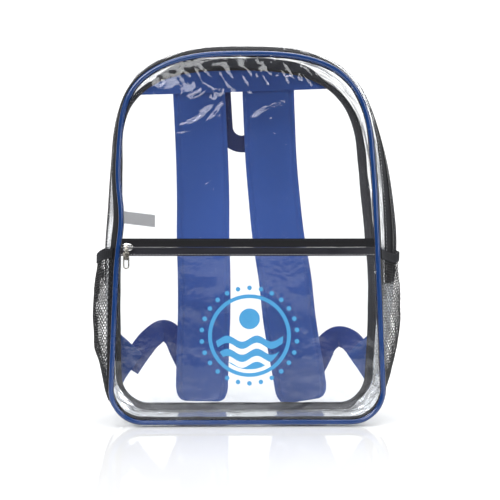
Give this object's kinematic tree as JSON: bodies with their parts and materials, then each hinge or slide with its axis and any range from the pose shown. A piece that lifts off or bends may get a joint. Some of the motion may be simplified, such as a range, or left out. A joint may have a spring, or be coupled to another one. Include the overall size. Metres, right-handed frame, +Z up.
{
  "type": "clear backpack",
  "caption": "Clear plastic backpack with a zipped front pocket, mesh side pockets, cloth shoulder straps and a grab loop.",
  "frame": {"origin": "middle of the bag's box on the floor that it stands on", "axes": "+Z up, +X to the right seen from the front, +Y from the front to the back"},
  "size_m": [0.3462, 0.1766, 0.4158],
  "materials": {
    "clear_sheet": "clear flexible plastic sheet, glossy, slightly hazy",
    "blue_piping": "glossy royal blue round piping",
    "black_tape": "matte woven tape",
    "black_coil": "satin moulded zip coil",
    "blue_cloth": "plain woven cloth and webbing",
    "navy_webbing": "woven webbing",
    "black_mesh": "open knitted mesh",
    "black_plastic": "moulded plastic",
    "zip_metal": "bright plated zinc alloy",
    "white_satin": "plain white satin, bare"
  },
  "bodies": {
    "bag": {"front_piping": "blue_piping", "front_binding": "black_tape", "back_binding": "black_tape", "gusset_front_strip": "clear_sheet", "gusset_rear_strip": "clear_sheet", "main_zip_tape": "black_tape", "main_zip_coil": "black_coil", "bottom_gusset": "clear_sheet", "front_panel": "clear_sheet", "pocket_panel": "clear_sheet", "pocket_back_panel": "clear_sheet", "pocket_zip_tape": "black_tape", "pocket_zip_lip": "black_tape", "pocket_zip_coil": "black_coil", "pocket_slider": "zip_metal", "main_slider": "black_plastic", "mesh_pocket_left": "black_mesh", "pocket_elastic_left": "black_tape", "mesh_pocket_right": "black_mesh", "pocket_elastic_right": "black_tape", "back_panel": "clear_sheet", "yoke": "blue_cloth", "shoulder_strap_left": "blue_cloth", "strap_adjuster_left": "black_plastic", "adjusting_webbing_left": "blue_cloth", "shoulder_strap_right": "blue_cloth", "strap_adjuster_right": "black_plastic", "adjusting_webbing_right": "blue_cloth", "corner_tab_left": "blue_cloth", "corner_tab_right": "blue_cloth", "haul_loop": "navy_webbing", "side_label": "white_satin"},
    "pull": {"pocket_pull": "zip_metal"}
  },
  "joints": [
    {"name": "pocket_pull_swing", "type": "hinge", "parent": "bag", "child": "pull", "pos_m": [-0.12968, -0.08582, 0.1922], "axis": [-1, 0, 0], "range_deg": [0, 160]}
  ]
}
